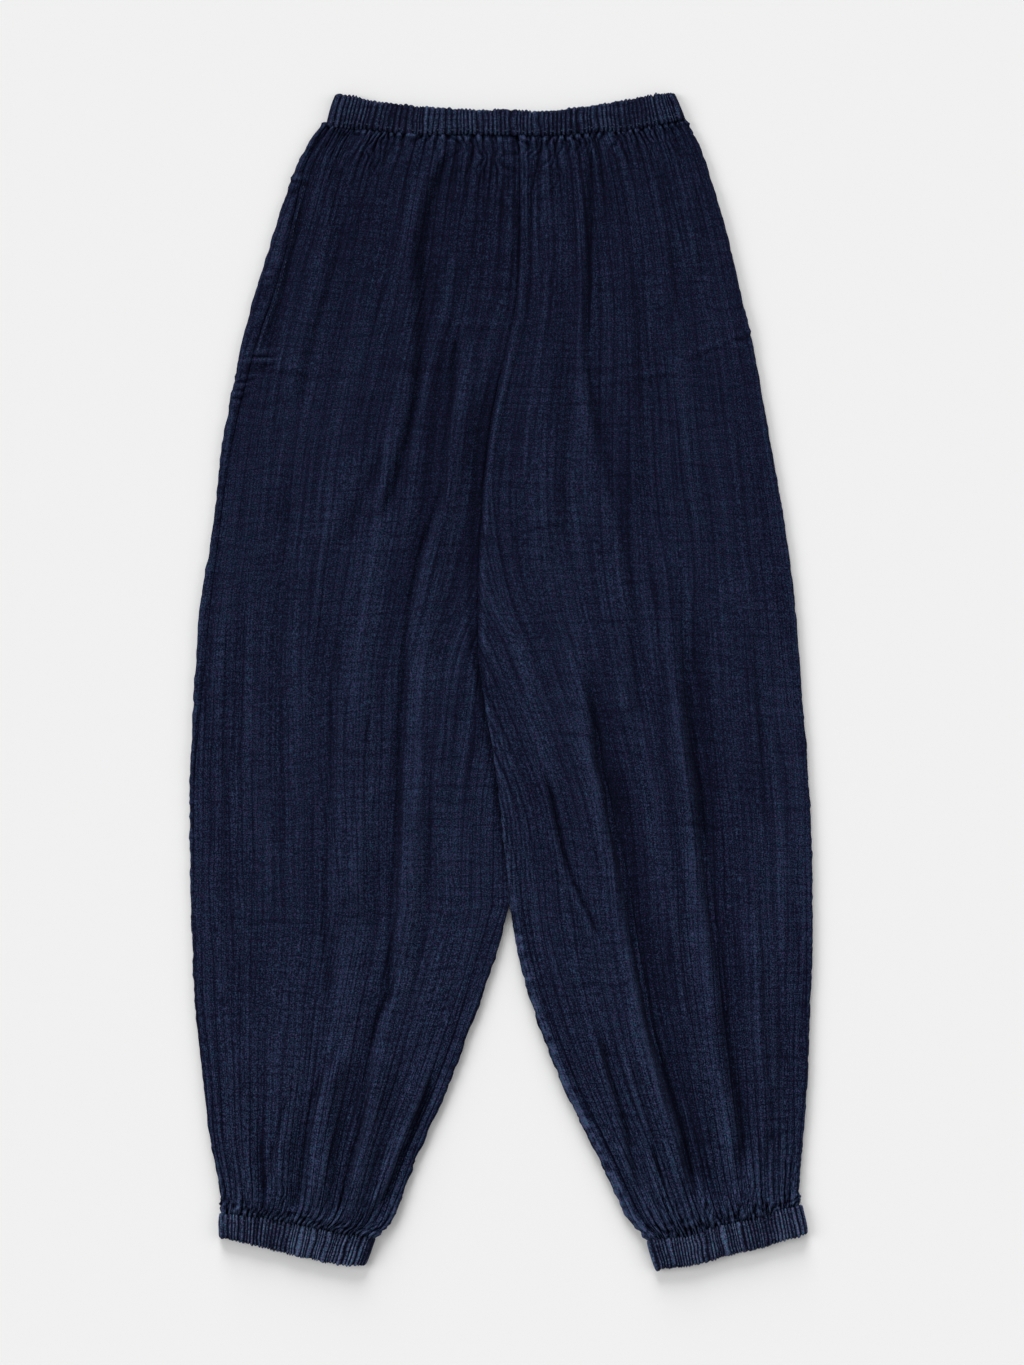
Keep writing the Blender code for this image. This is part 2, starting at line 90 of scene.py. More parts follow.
CasingEdge = namedtuple("CasingEdge", "top_x top_y low_x low_y")
BAND = (
    CasingEdge(-140, 500, -148, 473),
    CasingEdge(-113, 494, -119, 469),
    CasingEdge(-78, 489, -82, 467),
    CasingEdge(-44, 487, -45, 465),
    CasingEdge(-10, 486, -10, 464),
    CasingEdge(24, 484, 24, 464),
    CasingEdge(58, 487, 58, 465),
    CasingEdge(92, 492, 94, 468),
    CasingEdge(122, 497, 127, 472),
    CasingEdge(145, 500, 155, 477),
)
CUFFS = {
    "left": (
        CasingEdge(-239, -452, -239, -473),
        CasingEdge(-206, -456, -208, -480),
        CasingEdge(-173, -462, -178, -487),
        CasingEdge(-140, -468, -148, -494),
        CasingEdge(-108, -473, -117, -497),
    ),
    "right": (
        CasingEdge(125, -475, 133, -500),
        CasingEdge(157, -472, 162, -496),
        CasingEdge(189, -463, 195, -487),
        CasingEdge(222, -455, 227, -480),
        CasingEdge(254, -444, 259, -469),
    ),
}
BAND_RIBS = 53
CUFF_RIBS = {"left": 27, "right": 30}

# The broad folds, each a soft ridge on a bent line through three points
Fold = namedtuple("Fold", "top_x top_y mid_x mid_y low_x low_y width rise")
FOLDS = (
    Fold(-71, 435, -83, 324, -82, 205, 10.2, 5.2),
    Fold(-52, 324, -65, 222, -76, 103, 10.2, 5.2),
    Fold(-22, 286, -44, 171, -65, 1, 11.1, 6.8),
    Fold(-133, 20, -133, -101, -139, -230, 15.3, 6.0),
    Fold(-74, -60, -82, -169, -99, -270, 11.9, 6.0),
    Fold(-139, -300, -150, -381, -159, -460, 10.2, 9.0),
    Fold(-102, -300, -114, -385, -133, -460, 10.2, 9.0),
    Fold(-65, -310, -86, -398, -116, -462, 9.3, 7.5),
    Fold(-224, -300, -217, -390, -209, -455, 10.2, 6.0),
    Fold(-184, -290, -186, -381, -188, -460, 10.2, 6.0),
    Fold(40, 420, 44, 265, 33, 69, 12.8, 6.0),
    Fold(102, 400, 107, 256, 118, 137, 12.8, 5.2),
    Fold(132, 142, 147, -7, 169, -149, 12.8, 6.8),
    Fold(129, -149, 152, -271, 180, -440, 11.1, 9.0),
    Fold(206, -186, 220, -296, 224, -440, 11.1, 7.5),
    Fold(58, -149, 96, -260, 147, -450, 11.1, 7.5),
    Fold(33, -211, 60, -305, 114, -450, 9.3, 6.0),
    Fold(84, 103, 94, -16, 105, -126, 12.8, 5.2),
    Fold(198, 103, 207, -16, 211, -118, 14.5, 4.5),
)
WAIST_PUFF = 3.0
CUFF_PUFF = 7.0
FADE_START = 6.0
FADE_END = 34.0

# Sharper creases: a soft trough of this half width, with a ridge on one side (lean 1: left, -1: right) and a
# hollow on the other. It fades in over this length and out over a shorter one. Where the depth is negative a soft ridge runs along.
Crease = namedtuple("Crease", "width depth lean hollow fade line")
CREASES = (
    Crease(4.2, 3.7, 1, 0.6, 30, ((-42, 456), (-61, 405), (-69, 354), (-68, 299), (-73, 240), (-86, 180), (-102, 130))),
    Crease(7.0, 1.8, 1, 0.3, 25, ((-96, 205), (-106, 178), (-120, 146), (-138, 104))),
    Crease(3.6, 3.6, -1, 0.7, 16, ((-36, 296), (-44, 220), (-51, 158), (-70, 100), (-80, 40), (-86, -60), (-90, -160), (-96, -275))),
    Crease(4.6, 3.0, -1, 0.3, 60, ((-128, 70), (-139, 10), (-144, -60), (-147, -126), (-148, -190), (-146, -280))),
    Crease(3.4, 3.0, -1, 0.4, 12, ((-137, -306), (-149, -332), (-160, -358), (-165, -385), (-168, -415), (-175, -452))),
    Crease(3.4, 4.6, -1, 0.5, 14, ((-94, -260), (-106, -296), (-113, -335), (-119, -373), (-129, -424), (-137, -456))),
    Crease(2.3, 4.0, 1, 0.3, 20, ((-56, -332), (-73, -373), (-83, -398), (-93, -424), (-112, -458))),
    Crease(2.6, 2.4, -1, 0.4, 20, ((-178, -345), (-189, -381), (-195, -407), (-201, -446))),
    Crease(2.6, 1.6, 1, 0.4, 60, ((-231, 60), (-234, -60), (-234, -160), (-231, -280))),
    Crease(2.4, 1.4, -1, 0.4, 60, ((-216, 80), (-221, -40), (-222, -160), (-220, -300))),
    Crease(5.5, 2.2, 1, 0.4, 40, ((-134, 446), (-141, 367), (-150, 324), (-163, 273), (-172, 225))),
    Crease(5.0, 1.8, 1, 0.5, 25, ((-170, 404), (-182, 346), (-192, 300), (-201, 262))),
    Crease(4.5, -2.2, 1, 0.0, 12, ((-154, 474), (-162, 448), (-170, 424))),
    Crease(5.0, 1.8, -1, 0.3, 60, ((-178, 190), (-184, 90), (-188, -20), (-188, -160))),
    Crease(10.0, -3.1, 1, 0.0, 60, ((-100, 170), (-114, 60), (-118, -16), (-119, -101), (-125, -186), (-133, -340))),
    Crease(7.0, -2.5, -1, 0.0, 60, ((-64, 60), (-69, -60), (-72, -160), (-82, -280))),
    Crease(2.6, 1.8, 1, 0.8, 20, ((13, 434), (12, 400), (12, 366), (8, 322))),
    Crease(3.4, 3.1, 1, 0.6, 35, ((76, 448), (75, 367), (74, 300), (77, 239), (87, 190))),
    Crease(6.0, 2.9, 1, 0.7, 80, ((80, 280), (90, 195), (101, 146), (110, 98), (116, 30), (119, -45))),
    Crease(4.2, 7.2, 1, 1.2, 100, ((70, 40), (84, -67), (94, -126), (105, -169), (113, -220), (126, -288), (145, -356), (158, -405), (166, -445))),
    Crease(5.0, 6.3, 1, 1.1, 130, ((154, 70), (160, -33), (167, -90), (176, -170), (187, -254), (195, -315), (204, -385), (208, -425))),
    Crease(2.3, 4.8, 1, 0.6, 25, ((36, -75), (45, -115), (52, -145), (61, -169), (77, -204), (88, -232))),
    Crease(2.8, 4.6, 1, 0.7, 30, ((82, -288), (94, -339), (101, -364), (111, -407), (121, -446))),
    Crease(2.4, 3.4, 1, 0.5, 30, ((108, -312), (122, -364), (131, -398), (142, -446))),
    Crease(4.0, 2.4, 1, 0.4, 30, ((136, 440), (143, 390), (148, 350), (150, 300))),
    Crease(4.0, 2.0, 1, 0.4, 25, ((164, 430), (170, 380), (172, 330))),
    Crease(5.0, 2.2, 1, 0.4, 60, ((129, 120), (138, 30), (141, -60), (150, -150), (160, -230))),
    Crease(3.0, 1.8, 1, 0.4, 60, ((216, -150), (224, -240), (228, -330), (226, -430))),
    Crease(3.0, 1.6, 1, 0.4, 60, ((200, 240), (210, 140), (219, 30), (224, -80))),
    Crease(11.0, -1.8, -1, 0.0, 60, ((32, 140), (24, 60), (28, -20), (46, -100))),
)

# Short creases that lie across the cloth, most of them beside the pocket mouth
Tuck = namedtuple("Tuck", "x y reach tilt depth width", defaults=(1.7,))
TUCKS = (
    Tuck(-172, 424, 8, -12, 1.7),
    Tuck(-176, 417, 6, 20, 0.9),
    Tuck(-198, 343, 6, 10, 1.1),
    Tuck(-200, 337, 6, 2, 0.9),
    Tuck(-204, 277, 15, 5, 1.9),
    Tuck(-207, 271, 17, -4, 2.1),
    Tuck(-212, 265, 11, 8, 1.8),
    Tuck(-217, 257, 8, 12, 1.8),
    Tuck(-219, 249, 7, 4, 1.8),
    Tuck(-221, 242, 7, 10, 1.6),
    Tuck(-190, 263, 26, -7, 0.9, 3.4),
    Tuck(-32, 299, 30, -2, 0.5, 3.6),
    Tuck(120, 257, 50, 9, 0.8, 1.8),
    Tuck(185, 284, 40, 22, 0.8, 1.8),
    Tuck(36, 131, 16, 8, 1.0, 1.6),
)

# The cloth: crinkles are measured on the ungathered width of a panel
PANEL_WIDTH = 266.0
PANEL_LENGTH = 930.0
CRINKLE_HEIGHT = 0.95
GATHERS = 22
LAP_RISE = 4.2
LAP_OVERHANG = 2.2
GROOVE_DEPTH = 1.3
GROOVE_WIDTH = 1.7
POCKET_TOP = 423.0
POCKET_LOW = 276.0

# Fineness of the meshes
FRONT_ROW_STEP = 3.1
FRONT_COLUMNS = 226
BACK_ROW_STEP = 3.3
BACK_COLUMNS = 150
TURN_COLUMNS = 9
RIB_SPLIT = 1.42
RIB_POINTS = 12
UNDER_RIB_POINTS = 8
END_STEPS = 9

# Where the photograph was taken from
CAMERA_HEIGHT = 3.229
CAMERA_LENS = 100.0
CAMERA_X = 0.0089
CAMERA_Y = -0.0009


def smoothstep(value):
    value = np.clip(value, 0.0, 1.0)
    return value * value * (3 - 2 * value)


def curve(points, position, corner=None):
    """Points at the row positions on a smooth line through points. It may turn sharply at one corner row."""
    points = np.asarray(points, dtype=float)
    position = np.asarray(position, dtype=float)
    final = len(points) - 1
    start = np.clip(np.floor(position).astype(int), 0, final - 1)
    share = (position - start)[..., None]
    at_start = start == 0
    at_end = start + 1 == final
    if corner is not None:
        at_start = at_start | (start == corner)
        at_end = at_end | (start + 1 == corner)
    first, last = points[start], points[start + 1]
    before = np.where(at_start[..., None], first, points[np.maximum(start - 1, 0)])
    after = np.where(at_end[..., None], last, points[np.minimum(start + 2, final)])
    pull_in = (last - before) * np.where(at_start, 1.0, 0.5)[..., None]
    pull_out = (after - first) * np.where(at_end, 1.0, 0.5)[..., None]
    square, cube = share * share, share**3
    return (
        first * (2 * cube - 3 * square + 1)
        + last * (3 * square - 2 * cube)
        + pull_in * (cube - 2 * square + share)
        + pull_out * (cube - square)
    )


def noise(u, v, seed):
    """Smooth noise from -1 to 1, with one cell to a unit."""
    table = np.random.default_rng(seed).uniform(-1, 1, (256, 256))
    cell_u, cell_v = np.floor(u).astype(int), np.floor(v).astype(int)
    share_u, share_v = smoothstep(u - cell_u), smoothstep(v - cell_v)
    u0, u1, v0, v1 = cell_u & 255, (cell_u + 1) & 255, cell_v & 255, (cell_v + 1) & 255
    near = table[u0, v0] * (1 - share_u) + table[u1, v0] * share_u
    far = table[u0, v1] * (1 - share_u) + table[u1, v1] * share_u
    return near * (1 - share_v) + far * share_v


def casing_point(edges, share, level):
    """Points along a casing from left (0) to right (1), from its upper edge (level 0) to its lower one."""
    position = np.asarray(share, dtype=float) * (len(edges) - 1)
    top = curve([(row.top_x, row.top_y) for row in edges], position)
    low = curve([(row.low_x, row.low_y) for row in edges], position)
    level = np.asarray(level, dtype=float)[..., None]
    return top + (low - top) * level


def casing_y(edges, level, x):
    """The casing's height at each x."""
    x = np.asarray(x, dtype=float)
    left, right = casing_point(edges, 0.0, level)[0], casing_point(edges, 1.0, level)[0]
    share = np.zeros_like(x)
    for _ in range(5):
        found = casing_point(edges, share, np.full_like(x, level))[..., 0]
        share = np.clip(share + (x - found) / (right - left), 0.0, 1.0)
    return casing_point(edges, share, np.full_like(x, level))[..., 1]


def section_ends(side, position):
    """The outer and inner ends of sections of one leg, as points in the plane."""
    if side == "left":
        outers = [(row.left_x, row.left_y) for row in SECTIONS]
        inners = [(row.seam_left_x, row.seam_y) for row in SECTIONS]
    else:
        outers = [(row.right_x, row.right_y) for row in SECTIONS]
        inners = [(row.seam_right_x, row.seam_y) for row in SECTIONS]
    ends = [(row.top_x, row.top_y + SEAM_GAP) for row in (CUFFS[side][0], CUFFS[side][-1])]
    outers.append(ends[0 if side == "left" else 1])
    inners.append(ends[1 if side == "left" else 0])
    return curve(outers, position), curve(inners, position, corner=FORK_ROW)


def seam_shift(side, position, x):
    """How far sections bend in the plane at each x, to follow the seams to the waistband and the cuff."""
    shift = np.zeros_like(x)
    seams = (
        (BAND, 1.0, -SEAM_GAP, 0.0, smoothstep(1 - position / WAIST_BEND_ROWS)),
        (CUFFS[side], 0.0, SEAM_GAP, LAST_ROW, smoothstep(1 - (LAST_ROW - position) / CUFF_BEND_ROWS)),
    )
    for edges, level, gap, end_row, share in seams:
        outer, inner = section_ends(side, float(end_row))
        chord_y = outer[1] + (inner[1] - outer[1]) * (x - outer[0]) / (inner[0] - outer[0])
        shift += (casing_y(edges, level, x) + gap - chord_y) * share
    return shift


def wrap_at(side, position):
    """How far the back panel comes round the side edge, along the wall."""
    if side == "right":
        return np.zeros_like(position)
    wraps = [(row.wrap,) for row in SECTIONS] + [(SECTIONS[-1].wrap,)]
    return np.maximum(0.0, curve(wraps, position)[..., 0])


def bent_line(points, y):
    """x at each y on a smooth line through points, which run from high y to low."""
    xs = np.array([point[0] for point in points], dtype=float)
    ys = np.array([point[1] for point in points], dtype=float)
    position = np.interp(-y, -ys, np.arange(len(points), dtype=float))
    return curve(xs[:, None], position)[..., 0]


def fold_rise(x, y):
    """How far the broad folds lift the upper layer."""
    total = np.zeros_like(x)
    for fold in FOLDS:
        share = (fold.top_y - y) / (fold.top_y - fold.low_y)
        middle = (fold.top_y - fold.mid_y) / (fold.top_y - fold.low_y)
        bend = fold.mid_x - fold.top_x - (fold.low_x - fold.top_x) * middle
        bend /= middle * (1 - middle)
        centre = fold.top_x + (fold.low_x - fold.top_x) * share + bend * share * (1 - share)
        along = smoothstep(share * 4) * smoothstep((1 - share) * 4)
        total += fold.rise * along * np.exp(-(((x - centre) / fold.width) ** 2))
    return total


def crease_rise(x, y):
    """Ridge, trough and hollow of the sharper creases, and the shade painted there: painted shade in the trough and
    hollow, painted light on the ridge.
    """
    total, shade = np.zeros_like(x), np.zeros_like(x)
    for crease in CREASES:
        high, low = crease.line[0][1], crease.line[-1][1]
        line = bent_line(crease.line, y)
        slope = bent_line(crease.line, y - 1) - line
        away = crease.lean * (x - line - 1.2 * noise(y / 24, y * 0, 91)) / np.sqrt(1 + slope**2) / crease.width
        along = smoothstep((high - y) / crease.fade) * smoothstep((y - low) / min(crease.fade, 30))
        ridge = np.exp(-(((away + 2.2) / 1.6) ** 2)) if crease.depth > 0 else 0.0
        trough = np.exp(-(away**2))
        hollow = crease.hollow * np.exp(-(((away - 2.6) / 2.3) ** 2))
        beside = 0.6 if crease.lean > 0 else 0.25
        total += crease.depth * along * (beside * ridge - trough - 0.45 * hollow)
        # Painted shade in the trough and hollow, painted light on the ridge
        shade += crease.depth * along * (0.036 * ridge - 0.066 * trough - 0.034 * hollow)
    return total, shade


def tuck_rise(x, y):
    """The short creases: a trough with a ridge above it."""
    total = np.zeros_like(x)
    for tuck in TUCKS:
        turn = math.radians(tuck.tilt)
        along = (x - tuck.x) * math.cos(turn) + (y - tuck.y) * math.sin(turn)
        away = ((y - tuck.y) * math.cos(turn) - (x - tuck.x) * math.sin(turn)) / tuck.width
        shape = np.exp(-(((away - 1.7) / 1.1) ** 2)) - np.exp(-(away**2))
        total += tuck.depth * shape * np.exp(-((along / tuck.reach) ** 4))
    return total


def furrows(phase):
    """Narrow valleys, one to a unit: 1 in the valley and 0 between."""
    return (1 - np.abs(np.sin(math.pi * phase))) ** 2.5


def crinkle(u, v, seed, strength):
    """The gauze's crinkles: long narrow uneven valleys that run down a soft surface. 0 is the deepest valley."""
    u = u + 1.4 * noise(u / 34, v / 90, seed)
    phase = u / 5.6 + 0.8 * noise(u / 9, v / 190, seed + 2)
    main = furrows(phase) * (0.50 + 0.65 * noise(u / 11, v / 100, seed + 3))
    crest = furrows(phase + 0.5 + 0.2 * noise(u / 7, v / 60, seed + 10)) * noise(u / 6, v / 90, seed + 11)
    fine = furrows(u / 3.3 + 0.9 * noise(u / 6, v / 80, seed + 4)) * (0.50 + 0.65 * noise(u / 8, v / 55, seed + 5))
    soft = 0.10 * noise(u / 7, v / 110, seed + 6) + 0.08 * noise(u / 3.5, v / 80, seed + 7)
    across = 0.05 * noise(u / 26, v / 4.0, seed + 8) + 0.05 * noise(u / 6, v / 5.0, seed + 9)
    valleys = 0.36 * np.maximum(main, 0) + 0.25 * np.maximum(fine, 0) - 0.16 * np.maximum(crest, 0)
    return np.clip(0.8 - strength * valleys + soft + across, 0.0, 1.3)


def gather_rise(side, u, from_waist, from_cuff, seed):
    """Gathers that run out from the waistband and from the cuff, each its own height and length."""
    share = u / PANEL_WIDTH
    total = np.zeros_like(u)
    lean = 0.9 if side == "left" else -0.9
    for away, count, height, fine_height, reach, slant, shift in (
        (from_waist, GATHERS, 3.0, 4.0, 50.0, 0.3, 0),
        (from_cuff, GATHERS + 4, 4.6, 4.6, 44.0, lean, 40),
    ):
        hook = slant * np.exp(-away / 13) * (1 + 0.5 * noise(share * 7, away / 40, seed + shift + 3))
        phase = count * share + 0.55 * noise(share * count * 0.8, away / 60, seed + shift) + hook
        size = 0.65 + 0.35 * noise(phase * 0.9, phase * 0, seed + shift + 1)
        length = reach * (1.0 + 0.7 * noise(phase * 0.7, phase * 0, seed + shift + 2))
        wave = np.abs(np.sin(math.pi * phase)) ** 0.6 - 0.6
        total += height * size * wave * np.exp(-away / length)
        twist = 0.8 * noise(phase * 1.1, away / 9, seed + shift + 4) + 0.3 * hook
        finer = np.abs(np.sin(math.pi * (1.85 * phase + twist))) ** 0.6 - 0.6
        uneven = 0.6 + 0.5 * noise(phase * 0.6, away / 30, seed + shift + 5)
        total += fine_height * uneven * finer * np.exp(-away / (0.8 * length))
        bead = np.abs(np.sin(math.pi * (1.5 * phase + 0.4 + 0.3 * noise(phase, phase * 0, seed + shift + 6)))) - 0.4
        total += 3.4 * bead * np.exp(-(((away - 2.8) / 1.9) ** 2))
        if shift:
            knots = noise(phase * 2.2, away / 2.6, seed + shift + 7)
            total += 2.4 * knots * np.exp(-(((away - 6) / 5) ** 2))
    return total


def along_rows(side, row_step):
    """Section positions for rows that lie about row_step apart, and closer near the casings."""
    fine = np.linspace(0.0, LAST_ROW, 1801)
    outer, inner = section_ends(side, fine)
    middle = (outer + inner) / 2
    steps = np.linalg.norm(np.diff(middle, axis=0), axis=1)
    length = np.concatenate([[0.0], np.cumsum(steps)])
    near = 1 + 2.8 * (np.exp(-length / 22) + np.exp(-(length[-1] - length) / 30))
    weight = np.concatenate([[0.0], np.cumsum(steps * near[1:])])
    count = int(round(weight[-1] / row_step))
    position = np.interp(np.linspace(0, weight[-1], count + 1), weight, fine)
    return position, np.interp(position, fine, length), length[-1]


def lap_window(position):
    """1 where the right leg's inner edge lies over the left leg."""
    return smoothstep((position - CROTCH_ROW + 0.2) / 0.8) * smoothstep((FORK_ROW - 0.05 - position) / 1.0)


SURFACES = {}


def panel_points(side, front, row_step, columns, seed):
    """Points of a panel's outer face, with its cloth coordinates and relief, as grids of rows and columns."""
    position, down, length = along_rows(side, row_step)
    position, down = position[:, None], down[:, None]
    outer, inner = section_ends(side, position[:, 0])
    width = np.linalg.norm(inner - outer, axis=1)[:, None]
    across = (inner - outer) / width
    closing = smoothstep((position - CROTCH_ROW) / (CLOSED_ROW - CROTCH_ROW))
    lap = lap_window(position) if side == "right" and front else np.zeros_like(position)
    if side == "left" and front:
        closing = smoothstep((position - FORK_ROW + 1.0) / 1.0)
    wrap = wrap_at(side, position[:, 0])[:, None]
    last = width - closing * (CLOTH + SEAM_GAP) / 2 - EDGE_RADIUS + lap * LAP_OVERHANG
    flat_end = TURN + last - CLOTH / 2 - EDGE_RADIUS
    start = wrap + SEAM_GAP / 2 if front else -(wrap - SEAM_GAP / 2)
    steps = np.linspace(0, 1, TURN_COLUMNS + 1)[None, :]
    middle = np.linspace(0, 1, columns + 1)[None, 1:]
    run = start + TURN * steps[:, :-1] if front else start + (TURN + np.abs(start)) * steps[:, :-1]
    first = start + TURN if front else start + TURN + np.abs(start)
    along = np.concatenate(
        [run, first + (flat_end - first) * np.concatenate([[[0.0]], middle], axis=1), flat_end + TURN * steps[:, 1:]],
        axis=1,
    )
    upward = 1.0 if front else -1.0
    angle = np.clip(along / EDGE_RADIUS, -math.pi / 2, math.pi / 2)
    inward = CLOTH / 2 + EDGE_RADIUS * (1 - np.cos(angle)) + np.maximum(0.0, np.abs(along) - TURN)
    height = EDGE_HEIGHT + upward * EDGE_RADIUS * np.sin(angle)
    side_normal = -np.cos(angle)
    up_normal = upward * np.sin(angle)
    beyond = along - flat_end
    turned = beyond > 0
    bend = math.pi / 2 * (1 - np.clip(beyond / TURN, 0, 1))
    plain = UPPER_HEIGHT if front else UNDER_HEIGHT
    at_end = plain + (EDGE_HEIGHT + upward * SEAM_GAP / 2 - plain) * closing
    inward = np.where(turned, last + EDGE_RADIUS * np.cos(bend), inward)
    height = np.where(turned, at_end + (plain - at_end) * np.sin(bend), height)
    tilt_side = closing * np.cos(bend)
    tilt_up = 1 - closing + closing * np.sin(bend)
    size = np.hypot(tilt_side, tilt_up)
    side_normal = np.where(turned, tilt_side / size, side_normal)
    up_normal = np.where(turned, upward * tilt_up / size, up_normal)

    x = outer[:, 0:1] + across[:, 0:1] * inward
    y = outer[:, 1:2] + across[:, 1:2] * inward
    y = y + seam_shift(side, position + 0 * x, x)
    from_edge, from_seam = inward, width - inward
    from_waist, from_cuff = down + 0 * x, length - down + 0 * x
    seam_fade = smoothstep((from_seam - FADE_START) / (FADE_END - FADE_START))
    share = np.clip(along / (flat_end + TURN), -0.1, 1.0)
    if front:
        beyond = (np.hypot(share - 0.35, 0.05) + share - 0.35) / 2
        share = share - 0.4 * beyond * (1 - smoothstep((position - FAN_ROW) / (FORK_ROW - FAN_ROW)))
    u = PANEL_WIDTH * share
    v = down + 0 * x
    if side == "right":
        u = -u
    strength = np.clip(0.55 + 0.45 * from_waist / 700, 0.0, 1.0) + 1.2 * np.exp(-from_cuff / 100)
    strength = strength + 0.7 * np.exp(-from_waist / 60) + 0.4 * np.exp(-from_seam / 30)
    relief = crinkle(u, v, seed, strength)
    gathers = gather_rise(side, u if side == "left" else -u, from_waist, from_cuff, seed + 20)
    spread = np.clip(1.25 - width / PANEL_WIDTH, 0.0, 0.6)
    rise = CRINKLE_HEIGHT * (1 + spread) * (relief - 0.6)
    if front:
        fade = smoothstep((from_edge - FADE_START) / (FADE_END - FADE_START))
        fade = fade * (1 - closing + closing * seam_fade)
        from_casing = smoothstep(position / 1.5) * smoothstep((LAST_ROW - position) / 0.8)
        puff = WAIST_PUFF * np.exp(-position / 2) + CUFF_PUFF * np.exp((position - LAST_ROW) / 2)
        broad = fade * from_casing * (fold_rise(x, y) + puff)
        near_edge = smoothstep(from_edge / 12) * smoothstep(from_seam / 10)
        near_edge = near_edge * smoothstep(down / 12) * smoothstep((length - down) / 10)
        creases, crease_shade = crease_rise(x, y)
        creases = creases * near_edge
        lapping = LAP_RISE * lap * np.exp(-np.maximum(0.0, from_seam - 2) / 12)
        welt_line = smoothstep((position - FORK_ROW + 0.5) / 2.0)
        from_welt = from_seam - 5.0 - 4.0 * lap
        light_edge = np.exp(-((from_welt / 3.8) ** 2))
        welt_line = welt_line * (light_edge - 0.8 * np.exp(-(((from_welt - 6.0) / 2.2) ** 2)))
        welt = 1.0 if side == "right" else 0.25
        lapping = lapping + 1.5 * welt * welt_line
        strands = 1 - np.abs(np.sin(math.pi * (from_seam / 3.9 + 0.7 * noise(v / 60, v * 0, seed + 16))))
        strands = strands * np.exp(-from_seam / 20)
        ticks = noise(v / 2.8, from_seam / 5, seed + 17) * np.exp(-((from_seam / 9) ** 2))
        ticks = ticks * smoothstep((position - FORK_ROW + 0.5) / 1.0)
        below = welt * smoothstep((position - CROTCH_ROW) / 1.5)
        # Painted highlight on the raised inner edge and painted shade in the groove beside it, and a painted highlight
        # along the seam; the strands and ticks are dark thread lines
        relief = relief + 0.42 * welt * welt_line
        relief = relief + below * (0.9 * ticks - 0.85 * strands + 0.5 * np.exp(-from_seam / 16))
        if side == "left":
            beside = lap_window(position) * np.exp(-(((from_seam - 2.5) / 3.5) ** 2))
            hollow = smoothstep((275 - y) / 50) * smoothstep((y + 20) / 100)
            hollow = hollow * np.exp(-(((from_seam - 4.0) / (5.0 + 3.0 * smoothstep((y - 120) / 80))) ** 2))
            lapping = lapping - 1.2 * beside - 2.2 * hollow
            # Painted shadow under the right leg's lapping edge and painted shade in the hollow beside the inner seam
            relief = relief - 0.4 * beside - 0.26 * hollow
        height = height + (broad + creases) * np.maximum(up_normal, 0.0) + lapping
        groove = np.exp(-((from_seam / GROOVE_WIDTH) ** 2)) * (1 - closing)
        groove = groove + 0.45 * np.exp(-(((along - start) / GROOVE_WIDTH) ** 2))
        lip = smoothstep((POCKET_TOP - y) / 12) * smoothstep((y - POCKET_LOW) / 12)
        edge_lip = 0.9 * lip * np.exp(-(((along - start - 2.6) / 2.2) ** 2))
        topstitch = 0.55 * lip * np.exp(-(((along - start - 6.4) / 0.9) ** 2))
        seam = 1 - closing
        welt = 1.5 if side == "right" else -0.5
        ridge = welt * seam * np.exp(-(((from_seam - 5.0) / 2.6) ** 2))
        ridge = ridge * (1 + 0.5 * noise(v / 9, v * 0, seed + 11))
        gathers = gathers + tuck_rise(x, y)
        rise = rise + gathers + edge_lip - topstitch - GROOVE_DEPTH * groove + ridge
        # Painted shade in the seam grooves and the pocket's stitch furrow, painted light on the ridge beside the centre
        # seam, and the creases' painted shade and light
        relief = relief - 0.35 * groove - 0.2 * topstitch + 0.12 * ridge + crease_shade * near_edge
        tuck = 3.0 * (np.exp(-down / 1.5) + np.exp(-(length - down) / 1.5))
        rise = rise - tuck
    else:
        groove = np.exp(-((from_seam / GROOVE_WIDTH) ** 2)) + np.exp(-(((along - start) / GROOVE_WIDTH) ** 2))
        strip = np.where(along < 0, 1.0, 0.0)
        gathers = gathers * (0.35 + 0.3 * strip) + tuck_rise(x, y) * strip
        ripple = strip * (0.7 * noise(u / 9, v / 6.5, seed + 12) + 0.4 * noise(u / 2.5, v / 7, seed + 13))
        rise = rise + gathers + 0.8 * ripple - GROOVE_DEPTH * groove
        # The strip round the left leg's outer edge is painted lighter where the left lamp falls on it, a painted
        # highlight; its ripples get painted light on tops and painted shade between
        relief = relief + 0.15 * strip + 0.25 * ripple
        sunk = np.maximum(-up_normal, 0.0)
        ceiling = 0.0
        rise = rise * (1 - sunk) + np.minimum(rise - 0.9, ceiling) * sunk
        # Painted shade in the seam grooves
        relief = relief - 0.35 * groove
    wobble = 0.45 * noise(v / 6.5, v * 0, seed + 14) + 0.3 * noise(v / 2.8, v * 0, seed + 15)
    wobble = wobble * (1 + 0.9 * smoothstep((position - FORK_ROW) / 2) * np.exp(-from_seam / 10))
    offset = CLOTH / 2 + rise + wobble * np.abs(side_normal)
    points = np.stack(
        [x + across[:, 0:1] * side_normal * offset, y + across[:, 1:2] * side_normal * offset, height + up_normal * offset],
        axis=2,
    )
    tucked = 2.8 * (np.exp(-down) - np.exp(-(length - down)))
    points[..., 1] += tucked
    points[..., 2] = np.maximum(points[..., 2], 0.3 if front else 0.0)
    if front:
        SURFACES[side] = (points, along - start)
    # The relief also sets the colour: painted shade in crinkle, gather and tuck valleys, painted light on their tops,
    # and darker towards the waist
    relief = np.clip(relief + 0.24 * gathers - 0.26 * np.exp(-down / 160), 0.0, 1.9)
    pull = 0.15 + 0.85 * np.exp(-from_cuff / 130) + 0.6 * np.exp(-from_waist / 60) + 0.15 * np.exp(-from_seam / 25)
    return points, np.stack([u, v, 0 * u], axis=2), relief, np.minimum(pull, 1.0)


